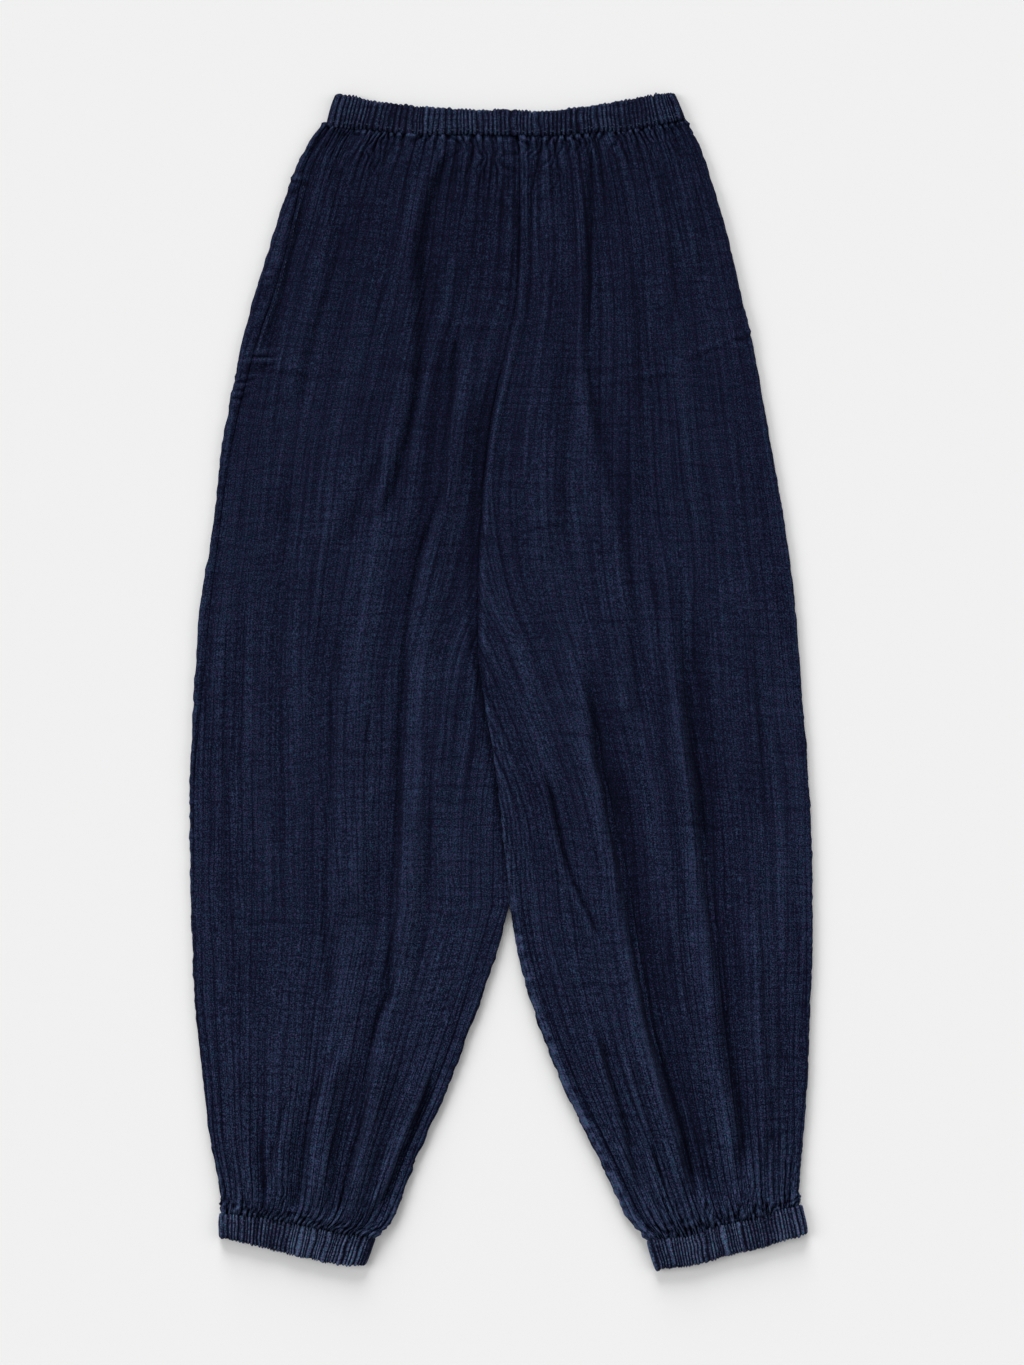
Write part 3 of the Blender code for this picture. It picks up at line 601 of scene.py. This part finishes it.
def grid_mesh(name, points, cloth, relief, pull, flip=False, ring=False):
    """A mesh from a grid of points. ring joins the last column and the last row to the first."""
    rows, columns = points.shape[:2]
    wide = columns + 1 if ring else columns
    tall = rows + 1 if ring else rows
    ids = np.arange(rows * columns).reshape(rows, columns)
    if ring:
        ids = np.concatenate([ids, ids[:, :1]], axis=1)
        ids = np.concatenate([ids, ids[:1]], axis=0)
    quads = np.stack([ids[:-1, :-1], ids[:-1, 1:], ids[1:, 1:], ids[1:, :-1]], axis=-1).reshape(-1, 4)
    across, down = np.meshgrid(np.linspace(0.01, 0.99, wide), np.linspace(0.99, 0.01, tall))
    plan = np.stack([across, down], axis=-1)
    corners = np.stack([plan[:-1, :-1], plan[:-1, 1:], plan[1:, 1:], plan[1:, :-1]], axis=-2).reshape(-1, 4, 2)
    if flip:
        quads, corners = quads[:, ::-1], corners[:, ::-1]
    mesh = bpy.data.meshes.new(name)
    mesh.from_pydata((points.reshape(-1, 3) * MM).tolist(), [], quads.tolist())
    layer = mesh.uv_layers.new(name="OFBake")
    layer.data.foreach_set("uv", np.ascontiguousarray(corners, dtype=np.float32).ravel())
    stored = mesh.attributes.new("cloth", "FLOAT_VECTOR", "POINT")
    stored.data.foreach_set("vector", np.ascontiguousarray(cloth, dtype=np.float32).ravel())
    for key, values in (("relief", relief), ("pull", pull)):
        stored = mesh.attributes.new(key, "FLOAT", "POINT")
        stored.data.foreach_set("value", np.ascontiguousarray(values, dtype=np.float32).ravel())
    mesh.shade_smooth()
    mesh.update()
    made = bpy.data.objects.new(name, mesh)
    bpy.context.scene.collection.objects.link(made)
    return made


def ring_stations(edges, ribs, seed):
    """Round a flattened casing: share across, turn angle and rib phase at each station."""
    span = np.linalg.norm(casing_point(edges, 1.0, 0.5) - casing_point(edges, 0.0, 0.5))
    inset = (CASING / 2 + CASING_RADIUS) / span
    upper = np.linspace(0, 1, ribs * RIB_POINTS + 1)
    under = np.linspace(1, 0, ribs * UNDER_RIB_POINTS + 1)
    turn = np.linspace(0, math.pi, END_STEPS + 1)[1:-1]
    share = np.concatenate(
        [inset + (1 - 2 * inset) * upper, np.full(len(turn), 1 - inset), inset + (1 - 2 * inset) * under, np.full(len(turn), inset)]
    )
    angle = np.concatenate(
        [np.full(len(upper), math.pi / 2), math.pi / 2 - turn, np.full(len(under), -math.pi / 2), math.pi * 1.5 - turn]
    )
    angle[-len(turn) :] = -math.pi / 2 - turn
    phase = np.concatenate(
        [ribs * upper, ribs + 2 * turn / math.pi, ribs + 2 + ribs * (1 - under), 2 * ribs + 2 + 2 * turn / math.pi]
    )
    return share, angle, phase


SEAM_ROWS = {"casing_waistband": 19, "casing_cuff_left": 8, "casing_cuff_right": 8}
SEAM_SPOTS = {}


def casing_mesh(name, edges, ribs, seed):
    """A gathered casing: a flattened tube of thick soft wall with rounded rims and uneven ribs."""
    share, angle, phase = ring_stations(edges, ribs, seed)
    half = CASING / 2
    span = float(np.linalg.norm(casing_point(edges, 0.5, 0.0) - casing_point(edges, 0.5, 1.0)))
    section = []
    for turn in np.linspace(math.pi, 0, 8):
        section.append((half * (1 - math.sin(turn)), half * math.cos(turn)))
    for level in np.linspace(half, span - half, 14)[1:-1]:
        section.append((level, half + 0.5 * math.sin(math.pi * level / span)))
    for turn in np.linspace(0, math.pi, 8):
        section.append((span - half * (1 - math.sin(turn)), half * math.cos(turn)))
    for level in np.linspace(span - half, half, 5)[1:-1]:
        section.append((level, -half))
    level_mm, offset = np.array(section).T
    level_mm, offset = level_mm[:, None], offset[:, None]
    level = level_mm / span + 0 * share
    shares = share + 0 * level
    place = casing_point(edges, shares, level)
    ends = casing_point(edges, np.ones_like(shares), level) - casing_point(edges, np.zeros_like(shares), level)
    along = ends / np.linalg.norm(ends, axis=2, keepdims=True)
    around = np.cos(angle)[None, :]
    normal_up = np.sin(angle)[None, :]
    bend = 0.16 * noise(phase * 0.45 + 0 * level, level_mm / 9 + 0 * level, seed)
    uneven = phase + 0.4 * noise(phase * 0.8, phase * 0, seed + 1) + bend
    wave = np.abs(np.sin(math.pi * RIB_SPLIT * uneven)) ** 0.65
    size = 1.0 + 0.4 * noise(uneven * 1.3, 0 * level, seed + 2)
    fine = noise(uneven * 3.1, level_mm / 8 + 0 * level, seed + 3)
    outside = np.clip((offset / half + 1) / 2, 0.0, 1.0)
    rib = outside * (1.75 * size * wave + 0.16 * fine)
    under = np.maximum(-normal_up, 0.0) + 0 * rib
    rib = rib * (1 - under) + under * np.minimum(0.7 * (rib - 2.2 * outside), 0.0)
    reach = CASING_RADIUS * around + 0 * shares
    lift = CASING / 2 + CASING_RADIUS + CASING_RADIUS * normal_up
    far = offset + rib
    rims = np.exp(-level_mm / 1.5) - np.exp(-(span - level_mm) / 1.5)
    scallop = (3.0 * size * (wave - 0.6) + 0.5 * noise(phase * 0.6, phase * 0, seed + 4)) * rims * outside
    meander = 1.5 * noise(phase * 0.16, phase * 0, seed + 6) + 0.8 * noise(phase * 0.4, phase * 0, seed + 7)
    seam_side = level if name == "casing_waistband" else 1 - level
    scallop = scallop + meander * smoothstep(seam_side)
    ragged = 1.5 * noise(phase * 0.3, phase * 0, seed + 9) + 1.5 * noise(phase * 1.1, phase * 0, seed + 10)
    scallop = scallop + ragged * rims * outside * (1 - seam_side)
    x = place[..., 0] + along[..., 0] * (reach + around * far)
    y = place[..., 1] + along[..., 1] * (reach + around * far) + scallop
    z = lift + normal_up * far
    points = np.stack([x, y, np.maximum(z, 0.0)], axis=2)
    cloth = np.stack([phase * 6.5 + 0 * shares, level_mm + 0 * shares + 330.0, 0 * shares], axis=2)
    broad = noise(phase * 0.2, level_mm / 30 + 0 * phase, seed + 8)
    # Painted light on the ribs' tops and painted shade in the gaps between them; the broad noise is uneven tone
    relief = np.clip(1.3 * wave * (0.7 + 0.3 * (size - 1)) - 0.27 + 0.1 * fine + 0.14 * broad, 0.0, 1.3)
    upper = ribs * RIB_POINTS + 1
    row = SEAM_ROWS[name]
    valleys = [k for k in range(1, upper - 1) if wave[row, k] < wave[row, k - 1] and wave[row, k] <= wave[row, k + 1]]
    valleys = valleys[::2]
    SEAM_SPOTS[name] = [
        (points[row, k] + (0, 0, 1.2), points[row, k + 1] - points[row, k - 1]) for k in valleys
    ]
    return grid_mesh(name, points, cloth, relief, 0.1 + 0 * relief, ring=True)


def stitch_mesh(name, spots, length, width):
    """Stitches as small rounded beads of thread. Each spot is a middle and a direction."""
    profile = ((-1.0, 0.0), (-0.7, 0.8), (0.0, 1.0), (0.7, 0.8), (1.0, 0.0))
    sides = 6
    points, faces = [], []
    for middle, direction in spots:
        ahead = Vector(direction).normalized()
        beside = ahead.cross(Vector((0, 0, 1))).normalized()
        upward = beside.cross(ahead)
        base = len(points)
        for place, size in profile:
            for k in range(sides):
                turn = 2 * math.pi * k / sides
                around = beside * math.cos(turn) + upward * (0.7 * math.sin(turn))
                points.append((Vector(middle) + ahead * (place * length / 2) + around * (size * width / 2)) * MM)
        for ring in range(len(profile) - 1):
            for k in range(sides):
                a, b = base + ring * sides + k, base + ring * sides + (k + 1) % sides
                faces.append((a, a + sides, b + sides, b))
    mesh = bpy.data.meshes.new(name)
    mesh.from_pydata([tuple(point) for point in points], [], faces)
    mesh.shade_smooth()
    made = bpy.data.objects.new(name, mesh)
    bpy.context.scene.collection.objects.link(made)
    return made


def line_spots(side, distance, high_y, low_y, pitch):
    """Spots at an even pitch down a line this far from a front panel's side seam, between two heights."""
    points, away = SURFACES[side]
    line = np.array([[np.interp(distance, away[k], points[k, :, axis]) for axis in range(3)] for k in range(len(points))])
    line = line[(line[:, 1] < high_y) & (line[:, 1] > low_y)]
    length = np.concatenate([[0.0], np.cumsum(np.linalg.norm(np.diff(line, axis=0), axis=1))])
    places = np.arange(pitch / 2, length[-1], pitch)
    middles = np.stack([np.interp(places, length, line[:, axis]) for axis in range(3)], axis=1)
    ahead = np.stack([np.interp(places + 0.5, length, line[:, axis]) for axis in range(3)], axis=1) - middles
    sunk = noise(places / 7, places * 0, 21)
    return [(middle + (0, 0, 0.15 - 0.5 * abs(deep)), step) for middle, step, deep in zip(middles, ahead, sunk) if np.linalg.norm(step) > 1e-6]


class Nodes:
    """Short calls for building a material's nodes."""

    def __init__(self, name):
        self.material = bpy.data.materials.new(name)
        self.material.use_nodes = True
        self.tree = self.material.node_tree
        self.shader = self.tree.nodes["Principled BSDF"]

    def add(self, kind, **values):
        node = self.tree.nodes.new(kind)
        for key, value in values.items():
            setattr(node, key, value)
        return node

    def link(self, output, target):
        if hasattr(output, "is_output"):
            self.tree.links.new(output, target)
        else:
            target.default_value = output

    def math(self, operation, one, other=0.0):
        node = self.add("ShaderNodeMath", operation=operation)
        self.link(one, node.inputs[0])
        self.link(other, node.inputs[1])
        return node.outputs[0]

    def noise(self, coordinates, across, down, detail=1.0, shift=0.0, deep=1.0):
        """Noise with cells of this size in the coordinates' own units."""
        scaled = self.add("ShaderNodeMapping")
        self.link(coordinates, scaled.inputs["Vector"])
        scaled.inputs["Location"].default_value = (shift, shift * 1.7, shift)
        scaled.inputs["Scale"].default_value = (1 / across, 1 / down, 1 / deep)
        node = self.add("ShaderNodeTexNoise")
        self.link(scaled.outputs[0], node.inputs["Vector"])
        node.inputs["Scale"].default_value = 1.0
        node.inputs["Detail"].default_value = detail
        node.inputs["Roughness"].default_value = 0.55
        return node.outputs["Fac"]

    def lines(self, across, wander, pitch, width, sway):
        """Dark lines (0) of this width on a light cloth (1), a pitch apart, which sway with the noise."""
        turns = self.math("ADD", self.math("DIVIDE", across, pitch), self.math("MULTIPLY", wander, sway))
        away = self.math("MULTIPLY", self.math("PINGPONG", turns, 0.5), 2 * pitch / width)
        return self.math("MINIMUM", away, 1.0)

    def weighted(self, start, terms):
        """start plus each noise's distance from its middle, by weight."""
        total = start
        for term, weight in terms:
            away = self.math("SUBTRACT", term, 0.5)
            total = self.math("ADD", total, self.math("MULTIPLY", away, weight))
        return total

    def ramp(self, factor, stops):
        node = self.add("ShaderNodeValToRGB")
        self.link(factor, node.inputs[0])
        elements = node.color_ramp.elements
        while len(elements) < len(stops):
            elements.new(0.5)
        for element, (place, colour) in zip(elements, stops):
            element.position = place
            element.color = (*colour, 1.0)
        return node.outputs[0]


SHADE_TOP = 1.6


def gauze(name, stops, relief_weight, middle):
    """Indigo double gauze: slubby crossed threads, with colour that follows the relief: painted shade in the valleys
    and creases, and steel blue on the tops, partly painted light and partly faded dye.
    """
    nodes = Nodes(name)
    cloth = nodes.add("ShaderNodeAttribute", attribute_name="cloth").outputs["Vector"]
    relief = nodes.add("ShaderNodeAttribute", attribute_name="relief").outputs["Fac"]
    pull = nodes.add("ShaderNodeAttribute", attribute_name="pull").outputs["Fac"]
    place = nodes.add("ShaderNodeTexCoord").outputs["Object"]
    warp = nodes.noise(cloth, 1.1, 5.0, 1.0, 3.0)
    weft = nodes.noise(cloth, 5.0, 1.1, 1.0, 17.0)
    grain = nodes.noise(place, 1.1 * MM, 1.1 * MM, 1.0, 31.0, 1.1 * MM)
    slub = nodes.noise(cloth, 40.0, 2.4, 1.0, 47.0)
    pleat = nodes.noise(cloth, 4.2, 55.0, 1.0, 139.0)
    ply = nodes.noise(cloth, 1.6, 60.0, 1.0, 127.0)
    streak = nodes.noise(cloth, 3.0, 150.0, 1.0, 59.0)
    band = nodes.noise(cloth, 9.0, 150.0, 1.0, 71.0)
    patch = nodes.noise(cloth, 60.0, 80.0, 1.0, 83.0)
    speck = nodes.noise(place, 1.5 * MM, 1.5 * MM, 1.0, 97.0, 1.5 * MM)
    hue = nodes.weighted(nodes.math("ADD", nodes.math("MULTIPLY", pull, 0.05), 0.522), ((speck, 2.2), (band, 0.12)))
    wander = nodes.noise(cloth, 14.0, 160.0, 1.0, 109.0)
    split = nodes.add("ShaderNodeSeparateXYZ")
    nodes.link(cloth, split.inputs[0])
    line = nodes.lines(split.outputs["X"], wander, 2.8, 1.4, 4.5)
    sag = nodes.noise(cloth, 70.0, 22.0, 1.0, 151.0)
    rung = nodes.lines(split.outputs["Y"], sag, 7.5, 2.0, 3.4)
    cord = nodes.lines(split.outputs["X"], wander, 8.6, 2.8, 1.6)
    cord = nodes.math("MULTIPLY", nodes.math("SUBTRACT", cord, 0.8), nodes.math("MULTIPLY", pleat, 2.4))
    cord = nodes.math("ADD", cord, 0.5)
    lower = nodes.math("POWER", nodes.math("DIVIDE", split.outputs["Y"], PANEL_LENGTH), 2.0)
    lively = nodes.math("ADD", nodes.math("MULTIPLY", lower, 0.28), nodes.math("ADD", nodes.math("MULTIPLY", band, 0.5), 0.30))
    threads = nodes.weighted(0.0, ((warp, 0.8), (weft, 0.4), (grain, 2.9), (slub, 0.35), (ply, 0.35), (streak, 0.25), (line, 0.24), (rung, 0.22)))
    weave = nodes.math("ADD", nodes.math("MULTIPLY", threads, lively), 0.5)
    # The relief darkens valleys and creases and lightens tops: painted shade and painted light
    height = nodes.math("SUBTRACT", relief, middle - 0.5)
    pleats = nodes.math("MULTIPLY", nodes.weighted(0.0, ((pleat, 0.5), (warp, 0.4), (cord, 0.6), (height, 0.15))), pull)
    shade = nodes.weighted(
        nodes.math("ADD", weave, pleats), ((patch, 0.04), (height, relief_weight))
    )
    grey = nodes.ramp(nodes.math("DIVIDE", shade, SHADE_TOP), stops)
    tint = nodes.ramp(hue, ((0.2, (1.36, 0.82, 1.0)), (0.8, (0.66, 1.12, 1.0))))
    mix = nodes.add("ShaderNodeMix", data_type="RGBA", blend_type="MULTIPLY")
    mix.inputs["Factor"].default_value = 1.0
    nodes.link(grey, mix.inputs["A"])
    nodes.link(tint, mix.inputs["B"])
    nodes.link(mix.outputs["Result"], nodes.shader.inputs["Base Color"])
    rough = nodes.weighted(0.9, ((weave, 0.08),))
    nodes.link(rough, nodes.shader.inputs["Roughness"])
    bump = nodes.add("ShaderNodeBump")
    bump.inputs["Strength"].default_value = 0.6
    bump.inputs["Distance"].default_value = 0.0004
    nodes.link(weave, bump.inputs["Height"])
    nodes.link(bump.outputs[0], nodes.shader.inputs["Normal"])
    nodes.shader.inputs["Specular IOR Level"].default_value = 0.03
    nodes.shader.inputs["Sheen Weight"].default_value = 0.01
    nodes.shader.inputs["Sheen Roughness"].default_value = 0.6
    nodes.shader.inputs["Sheen Tint"].default_value = (0.55, 0.65, 1.0, 1.0)
    return nodes.material


LEG_STOPS = (
    (0.0, (0.0017, 0.0018, 0.0072)),
    (0.22, (0.0031, 0.0038, 0.0127)),
    (0.375, (0.0058, 0.0080, 0.0230)),
    (0.625, (0.0185, 0.0273, 0.0615)),
    (1.0, (0.0490, 0.0670, 0.1320)),
)
WAIST_STOPS = (
    (0.0, (0.0021, 0.0023, 0.0080)),
    (0.20, (0.0044, 0.0055, 0.0157)),
    (0.375, (0.0098, 0.0140, 0.0360)),
    (0.625, (0.0355, 0.0545, 0.1050)),
    (1.0, (0.0850, 0.1200, 0.2050)),
)
CASING_STOPS = (
    (0.0, (0.0024, 0.0026, 0.0085)),
    (0.20, (0.0058, 0.0072, 0.0195)),
    (0.375, (0.0158, 0.0220, 0.0500)),
    (0.625, (0.0580, 0.0845, 0.1520)),
    (1.0, (0.1200, 0.1600, 0.2500)),
)
LEG_CLOTH = gauze("gauze_leg", LEG_STOPS, 0.65, 0.725)
WAIST_CLOTH = gauze("gauze_waistband", WAIST_STOPS, 0.88, 0.565)
CUFF_CLOTH = gauze("gauze_cuff", CASING_STOPS, 1.25, 0.46)


def thread(name, colour):
    """Cotton thread: two plies twisted together, a little lighter than the cloth."""
    nodes = Nodes(name)
    place = nodes.add("ShaderNodeTexCoord").outputs["Object"]
    fibre = nodes.add("ShaderNodeTexNoise")
    nodes.link(place, fibre.inputs["Vector"])
    fibre.inputs["Scale"].default_value = 1400.0
    shade = nodes.ramp(fibre.outputs["Fac"], ((0.3, tuple(0.6 * part for part in colour)), (0.75, colour)))
    nodes.link(shade, nodes.shader.inputs["Base Color"])
    bump = nodes.add("ShaderNodeBump")
    bump.inputs["Distance"].default_value = 0.0001
    nodes.link(fibre.outputs["Fac"], bump.inputs["Height"])
    nodes.link(bump.outputs[0], nodes.shader.inputs["Normal"])
    nodes.shader.inputs["Roughness"].default_value = 0.7
    nodes.shader.inputs["Specular IOR Level"].default_value = 0.1
    return nodes.material


THREAD = thread("thread", (0.030, 0.045, 0.082))


def add_stitches(name, spots, length=2.6, width=0.9):
    piece = stitch_mesh(name, spots, length, width)
    piece.data.materials.append(THREAD)
    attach(piece, "root")
    return piece


def dress(piece, node, material):
    """Puts cloth on a piece, hangs it on the root, and hides the CAD node it stands for."""
    piece.data.materials.append(material)
    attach(piece, "root")
    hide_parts(node)


def make_legs():
    for seed, side in ((100, "left"), (300, "right")):
        for front in (True, False):
            face = "front" if front else "back"
            step = FRONT_ROW_STEP if front else BACK_ROW_STEP
            columns = FRONT_COLUMNS if front else BACK_COLUMNS
            flip = (side == "left") == front
            grids = panel_points(side, front, step, columns, seed + (0 if front else 50))
            piece = grid_mesh(f"cloth_{face}_{side}", *grids, flip=flip)
            if front and side == "left":
                spots = line_spots(side, 2.4, POCKET_TOP, POCKET_LOW, 3.9)
                add_stitches("stitches_pocket", spots, 2.2, 0.7)
            node = f"{face}_panel_{side}"
            dress(piece, node, LEG_CLOTH)


def make_casings():
    for name, edges, ribs, seed, flat in (
        ("waistband", BAND, BAND_RIBS, 500, (0.72, 0.026)),
        ("cuff_left", CUFFS["left"], CUFF_RIBS["left"], 520, (0.33, 0.026)),
        ("cuff_right", CUFFS["right"], CUFF_RIBS["right"], 540, (0.33, 0.026)),
    ):
        piece = casing_mesh(f"casing_{name}", edges, ribs, seed)
        sewn = add_stitches(f"stitches_{name}", SEAM_SPOTS[f"casing_{name}"], 2.0, 0.9)
        material = WAIST_CLOTH if name == "waistband" else CUFF_CLOTH
        dress(piece, name, material)


def dress_pockets():
    for name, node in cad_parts.items():
        if name.startswith("pocket"):
            node.data.materials.clear()
            node.data.materials.append(LEG_CLOTH)


def make_stage():
    mesh = bpy.data.meshes.new("floor")
    reach = 40.0
    corners = [(-reach, -reach, 0.0), (reach, -reach, 0.0), (reach, reach, 0.0), (-reach, reach, 0.0)]
    mesh.from_pydata(corners, [], [(0, 1, 2, 3)])
    floor = bpy.data.objects.new("floor", mesh)
    floor.location.z = -0.0004
    bpy.context.scene.collection.objects.link(floor)
    paint = bpy.data.materials.new("floor_paint")
    paint.use_nodes = True
    shader = paint.node_tree.nodes["Principled BSDF"]
    shader.inputs["Base Color"].default_value = (0.81, 0.81, 0.81, 1.0)
    shader.inputs["Roughness"].default_value = 1.0
    shader.inputs["Specular IOR Level"].default_value = 0.0
    mesh.materials.append(paint)


def make_light(name, direction, strength, angle):
    light = bpy.data.lights.new(name, "SUN")
    light.energy = strength
    light.angle = math.radians(angle)
    holder = bpy.data.objects.new(name, light)
    holder.rotation_mode = "QUATERNION"
    holder.rotation_quaternion = Vector(direction).to_track_quat("Z", "Y")
    bpy.context.scene.collection.objects.link(holder)


def make_view():
    scene = bpy.context.scene
    data = bpy.data.cameras.new("camera")
    data.lens = CAMERA_LENS
    data.clip_end = 100.0
    camera = bpy.data.objects.new("camera", data)
    camera.location = (CAMERA_X, CAMERA_Y, CAMERA_HEIGHT)
    scene.collection.objects.link(camera)
    scene.camera = camera
    world = bpy.data.worlds.new("studio")
    world.use_nodes = True
    world.node_tree.nodes["Background"].inputs["Color"].default_value = (1.0, 1.0, 1.0, 1.0)
    world.node_tree.nodes["Background"].inputs["Strength"].default_value = 0.37
    scene.world = world
    scene.view_settings.view_transform = "Standard"
    make_light("key", (-0.12, 0.80, 0.29), 3.35, 31)
    make_light("left", (-0.80, 0.10, 0.55), 1.35, 32)
    make_light("right", (0.80, 0.10, 0.55), 0.62, 38)


make_view()
make_stage()
make_legs()
make_casings()
dress_pockets()
